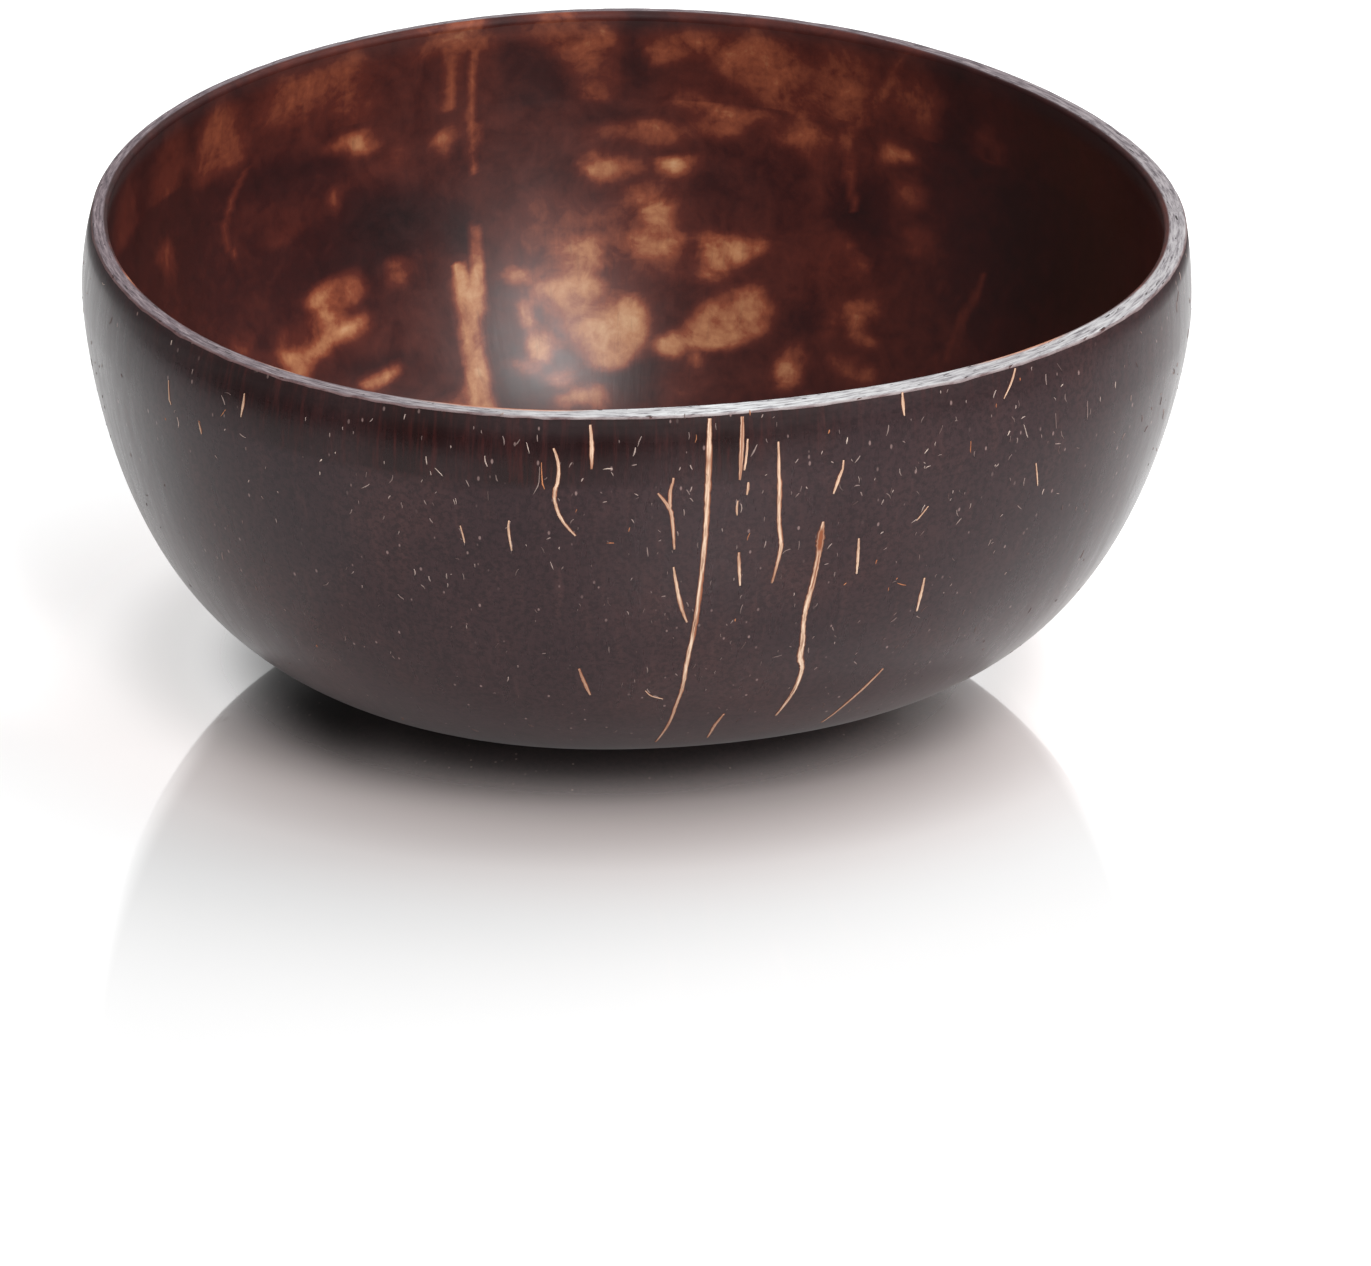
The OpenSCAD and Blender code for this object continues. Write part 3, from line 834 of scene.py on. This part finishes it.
def joined_ribbons(name, routes, steps_per_place, sides, seed, sunk, material, tones=None, rust_rows=()):
    """A piece of one or more ribbons, each with one tone."""
    rng = random.Random(seed)
    rows, faces, first = [], [], 0
    for route, tone in zip(routes, tones or [0.0] * len(routes)):
        numbers = ribbon(route, steps_per_place, sides, rng, sunk, rust_rows)
        count = len(numbers[0])
        faces += tube_faces(first, count // (2 * sides), 2 * sides)
        rows.append((*numbers, np.full(count, tone)))
        first += count
    points, margin, thread, rust, shade = map(np.concatenate, zip(*rows))
    piece = new_mesh_object(name, points, faces)
    give(piece, margin=margin, thread=thread * MM, tone=shade, rust=rust)
    piece.data.materials.append(material)
    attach(piece, "root")
    return piece


def build_strands(material):
    for seed, (node, routes) in enumerate(STRANDS.items()):
        rust_rows = RUST.get(node, ())
        piece = joined_ribbons(
            f"fibre_{node}", routes, 8, SECTION, seed, STRAND_T, material, rust_rows=rust_rows)
        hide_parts(node)


# Flecks of fibre that show singly: azimuth, latitude, length in mm, lean to the right at the top
# in degrees. They are read off the photograph.
FLECKS = [
    (-104, 6.5, 0.5, 60), (-103.7, 4, 1.2, -12), (-102.2, 3.9, 1.1, 40), (-100, 4.4, 0.9, -5),
    (-107, 5, 0.4, 0), (-105.5, 1.9, 1.5, -15), (-104.3, 0.1, 0.9, -20), (-107.5, -2.5, 1, -25),
    (-96.3, 1.9, 0.8, 30), (-100, -1.7, 2.2, 22), (-99.3, -0.5, 1.1, -25), (-95, 0.4, 0.5, 30),
    (-92.2, 1.5, 1.3, 88), (-91.7, 1, 0.6, -30), (-88.7, 4.2, 1.5, 22), (-89.3, 3.2, 1.2, 15),
    (-91, 4.2, 0.4, 0), (-89.3, 1.9, 0.7, 80), (-83.2, 4.6, 1, 0), (-84.2, 1.4, 0.5, 20),
    (-82.9, 1.5, 0.7, -25), (-80.1, 5.4, 0.9, -5), (-83.6, 6.5, 0.6, 0), (-92.5, -7, 0.6, 75),
    (-89, -4.8, 0.6, -60), (-89.7, -14.5, 0.7, 15), (-91.8, -17.7, 1, 90), (-98.7, -16.8, 0.6, 60),
    (-96.1, -12.4, 0.8, 35), (-97.5, -19, 0.4, 0), (-108.4, -16.5, 1.2, -20), (-108.1, -18.8, 1.1, -6),
    (-103.2, -14.6, 0.7, 70), (-102.9, -13.6, 0.9, 10), (-102.9, -19, 2.2, 0), (-109, -9, 0.8, -15),
    (-109.4, 3, 0.35, 0), (-107, -24, 0.6, 0), (-110.3, -29, 0.7, 5), (-108.4, -26.7, 1, -5),
    (-97.2, -23.5, 0.5, 30), (-85.2, -24.8, 0.5, 0), (-89.3, -26, 0.5, 20), (-87, -29, 0.4, 0),
    (-89.6, -33.5, 0.6, -20), (-85.5, -30, 0.6, 80), (-85.2, -34, 0.5, 0), (-81.8, -18.8, 0.9, -5),
    (-82.6, -32, 0.8, -20), (-80, -27.5, 0.8, 5), (-77.3, -27, 0.5, 0), (-76, -33.8, 1.6, 8),
    (-77, -36.5, 0.7, 30), (-76.6, -36.2, 0.5, 0), (-87, -47, 1.3, -5), (-88.5, -49.8, 0.6, 0),
    (-86.6, -52.6, 1.1, -30), (-85.7, -54.2, 1.1, -75), (-83.2, -48.5, 0.6, -40), (-73.5, -50, 0.4, 0),
    (-70.5, -45.6, 1.5, 80), (-70.5, -44.4, 0.4, 0), (-104.5, -50, 1.1, 15), (-103, -46.5, 0.5, 0),
    (-99.7, -43, 0.6, 80), (-108.6, -38, 0.6, 0), (-77.6, -9.5, 1.4, 5), (-77.1, -10.2, 1.3, 0),
    (-75.8, 2.8, 1.8, 30), (-74.3, -13.5, 0.7, 0), (-76, -17.5, 1.2, 15), (-77.3, -19.8, 0.6, 0),
    (-74, -19.6, 1.1, 10), (-72, -19.4, 0.6, 20), (-70, -20.5, 1.4, 0), (-70.9, 1.4, 0.7, 40),
    (-70.3, -6, 0.9, 12), (-70.7, -7.8, 0.8, 42), (-71.4, -7, 0.5, 0), (-74.8, 6.1, 0.5, 30),
    (-73.5, 5.9, 0.4, 60), (-76.2, 6.5, 0.7, 0), (-83.6, -10.5, 1, -5), (-84.2, -15.8, 0.7, -10),
    (-83.2, -4.5, 0.9, -30), (-82.9, -3.5, 0.8, 20), (-82.8, -7, 0.7, -40), (-86.2, -17.3, 0.4, 60),
    (-67.2, 4, 0.55, 20), (-68, 2, 0.5, 20), (-66.8, 0.9, 0.4, -60), (-65.1, 2.9, 0.9, 10),
    (-63.9, 0.9, 1.2, 40), (-63.8, -7, 0.8, 88), (-63.2, -9.5, 0.7, -25), (-66.3, -21.5, 1, 35),
    (-60.4, 3.4, 1.5, 15), (-58.5, 2, 0.5, -60), (-56.3, 3.9, 0.9, 30), (-54, 6.3, 0.4, 0),
    (-53.2, 6.3, 0.5, 30), (-52.3, 3.2, 0.4, 80), (-51, 4.9, 0.4, 0), (-54.2, 0, 0.6, 88),
    (-56, -2.5, 0.4, -50), (-58.8, -4.5, 1.1, -15), (-59.5, -10, 0.4, 20), (-60.6, -12.5, 0.8, 20),
    (-52.2, -13, 0.5, 0), (-55.6, -15.8, 1.2, 20), (-56.4, -18.4, 1.1, 60), (-49.7, -17.5, 0.8, 5),
    (-50, -2.9, 0.8, 0), (-50.5, -0.6, 0.6, 0), (-47.5, 5, 1.1, 25), (-48, 2.9, 0.4, 0),
    (-44, 1.9, 0.7, 70), (-44.2, 5.8, 0.4, 0), (-42.6, 6.5, 0.5, 10), (-45.8, 0.7, 0.7, 30),
    (-44.7, -1.5, 0.8, 0), (-40.8, 5, 1.5, 0), (-38.2, 2.5, 1.2, -12), (-38.7, 3.9, 0.5, 60),
    (-38.5, -5, 1.5, -25), (-35, -0.8, 1, 0), (-33, 0.9, 0.7, 0), (-30.5, 1.6, 0.9, 5),
    (-27.5, -3.5, 0.9, -5), (-47, -8.5, 0.6, 50), (-43, -15, 1.2, 0), (-40, -19, 0.9, 10),
    (-60.2, -20, 0.5, 50), (-65.2, -28, 0.8, 0), (-66.4, -25.5, 0.6, 80), (-63.7, -30.5, 0.5, 40),
    (-56.5, -32.5, 1.6, -65), (-69.8, -31.5, 0.5, 0), (-69.5, -34, 0.6, 0), (-66.8, -34.5, 0.7, 25),
    (-64, -40.5, 0.8, -25), (-66.3, -42, 0.5, 30), (-66.5, -45, 1.1, -10), (-63.3, -44, 0.4, 0),
    (-59.5, -50, 1, -45), (-64.8, -50, 0.6, 40), (-53, -41, 0.8, -50), (-60.3, -26.5, 0.7, 5),
    (-39, -7.5, 1, -75), (-141.8, 4, 0.7, 5), (-136.8, 2.6, 1.3, -35), (-146, 5.6, 0.6, 0),
    (-144, -7, 1.5, -5), (-133.6, -6, 0.5, 0), (-126, 3.3, 0.5, 0), (-123, 2.3, 0.6, 0),
    (-120.3, 3, 0.4, 0), (-118.4, 4.5, 0.6, 40), (-114.7, 5.3, 0.7, 10), (-124, -2.5, 0.5, 40),
    (-124.2, -7, 0.5, 0), (-116.7, 0.6, 0.4, 0), (-112, 1.4, 1.1, -8), (-118.9, -8, 1.5, 55),
    (-116.2, -10, 0.6, 30), (-114.8, -12, 0.5, 0), (-112.2, -10, 0.7, -25), (-108.8, -8.7, 0.9, -10),
    (-111.6, -14.5, 0.8, -30), (-120.8, -15.5, 0.9, 25), (-117, -15.5, 0.7, 20), (-115.4, -18.5, 0.6, 20),
    (-114, -27, 1.1, 0), (-112.3, -28, 0.9, -10), (-110.3, -27, 0.9, 0), (-113.2, -30, 0.8, -40),
    (-116, -33, 1.1, -45), (-121.5, -29.5, 0.6, 40),
]
# Longer bits of fibre, outlined like the strands and left to the scene: places as for STRANDS
SLIVERS = [
    [(-76.5, 4, 0.3), (-76.7, 2, 0.4), (-76.9, 0.9, 0.3)],
    [(-76.4, -2, 0.25), (-76.4, -4, 0.45), (-76.5, -6.5, 0.25)],
    [(-77.5, -8, 0.2), (-77.6, -10, 0.35), (-77.5, -12, 0.2)],
    [(-58.5, 6.9, 0.35), (-58.5, 5.6, 0.5), (-58.4, 4.6, 0.25)],
    [(-44.7, 7, 0.3), (-45.3, 5.8, 0.4), (-46.4, 4.3, 0.2)],
    [(-55, -15.4, 0.2), (-55.6, -17, 0.3), (-56.2, -18.4, 0.2)],
    [(-41.8, -11, 0.2), (-41.4, -14, 0.3), (-41, -17, 0.2)],
    [(-108.4, -15, 0.2), (-108.2, -17, 0.3), (-108, -19, 0.2)],
    [(-103, -12.8, 0.25), (-103.1, -15, 0.4), (-102.8, -20, 0.25)],
    [(-134, 4, 0.2), (-134, 3, 0.45), (-134.2, 1.6, 0.25)],
    [(-140.4, -3.5, 0.2), (-140.2, -5.5, 0.4), (-140.1, -7, 0.2)],
    [(-145.5, 2, 0.2), (-145.3, 0, 0.3), (-145, -2, 0.2)],
    [(-87, -52.5, 0.2), (-86.2, -54, 0.3), (-84.6, -55, 0.2)],
]
# Seeded flecks, which crowd round one azimuth
SMALL_FLECKS = 520
CROWD_AT = -68
ORANGE_SHARE = 0.07
FLECK_SIDES = 4
FLECK_SUNK = 0.15


def lat_mm(az, lat):
    """Length on the outer face of one degree of latitude."""
    return float(np.linalg.norm(outer(az, lat + 0.5) - outer(az, lat - 0.5)))


def fleck_places(az, lat, length, lean, share, bow=0.0):
    """Three places along a short fleck, bowed to one side by a share of its length."""
    across = math.sin(math.radians(lean)) * length / 2
    up = math.cos(math.radians(lean)) * length / 2
    az_mm, rise_mm = math.radians(SHELL_R), lat_mm(az, lat)
    dx, dy = across / az_mm, up / rise_mm
    bow_x, bow_y = bow * up * 2 / az_mm, -bow * across * 2 / rise_mm
    upper, lower = (az + dx, lat + dy, share * 0.5), (az - dx, lat - dy, share * 0.4)
    return [upper, (az + bow_x, lat + bow_y, share), lower]


def fleck_tone(rng, lat, least):
    """A fleck's place in the ramp of its material: fainter low down, now and then orange brown."""
    if rng.random() < ORANGE_SHARE:
        return rng.uniform(ORANGE_FROM, 1)
    return least + (PALEST - least) * rng.random() * math.exp(min(lat, 0) / 60)


def fleck_routes():
    rng = random.Random(5)
    routes = [fleck_places(*row, rng.uniform(0.12, 0.2), rng.uniform(-0.1, 0.1)) for row in FLECKS]
    tones = [fleck_tone(rng, row[1], 0.28) for row in FLECKS]
    while len(routes) < len(FLECKS) + SMALL_FLECKS:
        az, lat = rng.uniform(-180, 180), 8 - 78 * rng.random() ** 1.3
        crowd = 0.35 + 0.65 * math.exp(-((az - CROWD_AT + 180) % 360 - 180) ** 2 / 1500)
        if lat > rim_lat(az) - 1 or rng.random() > crowd:
            continue
        length = rng.uniform(0.25, 0.6) if rng.random() < 0.7 else rng.uniform(0.6, 1.5)
        lean = rng.gauss(0, 24) if rng.random() < 0.75 else rng.uniform(-90, 90)
        share, bow = rng.uniform(0.09, 0.16), rng.uniform(-0.15, 0.15)
        routes.append(fleck_places(az, lat, length, lean, share, bow))
        tones.append(fleck_tone(rng, lat, 0.0))
    return routes, tones


def build_flecks(material):
    joined_ribbons("fibre_slivers", SLIVERS, 4, SECTION, 50, STRAND_T, material)
    routes, tones = fleck_routes()
    joined_ribbons("fibre_flecks", routes, 2, FLECK_SIDES, 51, FLECK_SUNK, fibre_fleck(), tones)


# Stage, light and camera

FLOOR_HALF = 320.0
FLOOR_OVAL = (0.87, 1.0, 1.0)
FLOOR_SHADE_AT = (-0.0035, 0.002, 0.0)
WORLD_FILL = 0.5
ROOM_LEVEL = 0.12
MIRROR_FALL = [
    (0.034, 0.93), (0.037, 0.89), (0.041, 0.77), (0.0445, 0.69), (0.048, 0.58), (0.052, 0.47),
    (0.055, 0.4), (0.0595, 0.32), (0.067, 0.165), (0.074, 0.115), (0.081, 0.09), (0.094, 0.07),
    (0.114, 0.06), (0.2, 0.06),
]
# The floor's colour near the foot, warmed by painted bounce light from the bowl, and far from it
FLOOR_NEAR_PAINTED_BOUNCE = (0.87, 0.78, 0.76, 1.0)
FLOOR_FAR = (0.785, 0.785, 0.785, 1.0)
# Outline of the bowl as the floor mirrors it to the camera: middle, and half width and half depth
MIRRORED_AT = (0.001, -0.118)
MIRRORED_HALF = (0.0655, 0.16)
# Light that the floor is given outside that outline, and from which distance to which it sets in
GLOW = 0.55
GLOW_FROM = (0.045, 0.060)
GLOW_BEHIND = (-0.03, 0.01)
GLOW_FRONT_SHARE = 0.4
# A painted shadow on the floor and in its mirror, at the left of the foot: the distances over which it
# fades out, the span at the left where it fades out, and how dark it is
PAINTED_SHADOW_FROM = (0.036, 0.048)
PAINTED_SHADOW_LEFT_OF = (-0.040, -0.028)
PAINTED_SHADOW_DEPTH = 0.75
# Distances over which the floor's colour goes from near to far; the warmer colour near the foot is painted
# bounce light from the bowl
NEAR_TO_FAR = (0.045, 0.085)
FLOOR_ROUGHNESS = 0.04
# Heights and depths of the surroundings, as shares of a unit sphere
HORIZON = (-0.05, 0.05)
BACKDROP = (0.1, 0.6)
# Soft lamps: place, width and height in metres, and watts
LAMPS = {
    "key": ((0.7, 0.2, 1.25), (1.0, 1.0), 8.0),
    "front": ((0.42, -1.03, 0.86), (0.43, 1.0), 20.0),
}
LAMP_AIM = (0.0, 0.0, 0.03)
WHITE = (1.0, 1.0, 1.0, 1.0)
BLACK = (0.0, 0.0, 0.0, 1.0)


def build_floor():
    """Pale floor that mirrors the bowl near its foot and fades to plain white, with a painted shadow at the
    left of the foot and painted warm bounce light near it.
    """
    corner = [(-1, -1), (1, -1), (1, 1), (-1, 1)]
    points = [(x * FLOOR_HALF, y * FLOOR_HALF, 0) for x, y in corner]
    floor = new_mesh_object("floor", points, [(0, 1, 2, 3)])
    material = bpy.data.materials.new("floor")
    material.use_nodes = True
    tree = material.node_tree
    tree.nodes.clear()
    position = add(tree, "NewGeometry")["Position"]
    ends = {0: scaled(tree, position, FLOOR_OVAL), 1: FLOOR_SHADE_AT}
    distance = add(tree, "VectorMath", ends, operation="DISTANCE")["Value"]
    x, y = coordinate(tree, position, "X"), coordinate(tree, position, "Y")
    last = MIRROR_FALL[-1][0]
    steps = [(reach / last, (share, share, share, 1)) for reach, share in MIRROR_FALL]
    mirror = ramp(tree, sums(tree, "DIVIDE", distance, last), steps)
    plain = blend(tree, remap(tree, distance, *NEAR_TO_FAR), FLOOR_NEAR_PAINTED_BOUNCE, FLOOR_FAR)
    # Painted shadow at the left of the foot, which darkens both the floor's colour and its mirror
    left = remap(tree, x, *PAINTED_SHADOW_LEFT_OF, 1.0, 0.0)
    dark = sums(tree, "MULTIPLY", left, remap(tree, distance, *PAINTED_SHADOW_FROM, PAINTED_SHADOW_DEPTH, 0.0))
    diffuse = add(tree, "BsdfDiffuse", {"Color": blend(tree, dark, plain, BLACK)})
    tint = blend(tree, dark, WHITE, BLACK)
    gloss = add(tree, "BsdfGlossy", {"Color": tint, "Roughness": FLOOR_ROUGHNESS})
    # How far outside the mirrored outline a place is, and the light that it is given there
    side, front = (
        sums(tree, "DIVIDE", sums(tree, "SUBTRACT", place, middle), half)
        for place, middle, half in zip((x, y), MIRRORED_AT, MIRRORED_HALF))
    outline_share = sums(tree, "MULTIPLY_ADD", side, side, sums(tree, "MULTIPLY", front, front))
    beyond = sums(tree, "MULTIPLY", remap(tree, outline_share, 1.0, 1.1), remap(tree, distance, *GLOW_FROM))
    lift = remap(tree, y, *GLOW_BEHIND, GLOW * GLOW_FRONT_SHARE, GLOW)
    path = add(tree, "LightPath")
    looked_at = sums(tree, "MAXIMUM", path["Is Camera Ray"], path["Is Glossy Ray"])
    strength = sums(tree, "MULTIPLY", looked_at, sums(tree, "MULTIPLY", beyond, lift))
    glow = add(tree, "Emission", {"Strength": strength})
    body = add(tree, "AddShader", {0: diffuse[0], 1: glow[0]})
    mixed = add(tree, "MixShader", {0: mirror, 1: body[0], 2: gloss[0]})
    add(tree, "OutputMaterial", {"Surface": mixed[0]})
    floor.data.materials.append(material)


def build_world():
    world = bpy.data.worlds.new("studio")
    bpy.context.scene.world = world
    world.use_nodes = True
    tree = world.node_tree
    background = tree.nodes["Background"]
    background.inputs["Color"].default_value = WHITE
    path = add(tree, "LightPath")
    bounced = sums(tree, "MAXIMUM", path["Is Glossy Ray"], path["Is Transmission Ray"])
    seen = sums(tree, "MAXIMUM", path["Is Camera Ray"], bounced)
    direction = add(tree, "TexCoord")["Generated"]
    above = remap(tree, coordinate(tree, direction, "Z"), *HORIZON)
    behind = sums(tree, "MULTIPLY", remap(tree, coordinate(tree, direction, "Y"), *BACKDROP), above)
    backdrop = remap(tree, behind, 0.0, 1.0, ROOM_LEVEL, 1.0)
    white = sums(tree, "MAXIMUM", path["Is Camera Ray"], backdrop)
    link(tree, background.inputs["Strength"], remap(tree, seen, 0.0, 1.0, WORLD_FILL, white))


def soft_light(name, place, size, watts):
    lamp = bpy.data.lights.new(name, "AREA")
    lamp.shape = "RECTANGLE"
    lamp.size, lamp.size_y = size
    lamp.energy = watts
    light = bpy.data.objects.new(name, lamp)
    light.location = place
    light.rotation_euler = (Vector(LAMP_AIM) - Vector(place)).to_track_quat("-Z", "Y").to_euler()
    bpy.context.scene.collection.objects.link(light)


def build_camera():
    """The photograph's viewpoint: the axes are turned so that AIM lands on AIM_PX."""
    elevation, roll = math.radians(CAMERA_ELEVATION), math.radians(CAMERA_ROLL)
    back = Vector((0, -math.cos(elevation), math.sin(elevation)))
    level_right, level_up = Vector((1, 0, 0)), Vector((0, math.sin(elevation), math.cos(elevation)))
    right = level_right * math.cos(roll) + level_up * math.sin(roll)
    up = level_up * math.cos(roll) - level_right * math.sin(roll)
    aim_right, aim_up = PHOTO_W / 2 - AIM_PX[0], PHOTO_H / 2 - AIM_PX[1]
    ahead = (-back * FOCAL_PX + right * aim_right - up * aim_up).normalized()
    right = (right - ahead * right.dot(ahead)).normalized()
    up = right.cross(ahead)
    place = (Vector(AIM) + back * CAMERA_DISTANCE) * MM
    lens = bpy.data.cameras.new("camera")
    lens.sensor_fit = "HORIZONTAL"
    lens.sensor_width = SENSOR_MM
    lens.lens = FOCAL_PX / PHOTO_W * SENSOR_MM
    lens.clip_end = 20
    camera = bpy.data.objects.new("camera", lens)
    axes = Matrix((right, up, -ahead)).transposed()
    camera.matrix_world = Matrix.Translation(place) @ axes.to_4x4()
    bpy.context.scene.collection.objects.link(camera)
    bpy.context.scene.camera = camera


bpy.context.scene.view_settings.view_transform = "Standard"
build_camera()
build_world()
build_floor()
for lamp_name, lamp_values in LAMPS.items():
    soft_light(lamp_name, *lamp_values)
build_shell()
fibre = fibre_strand()
build_strands(fibre)
build_flecks(fibre)
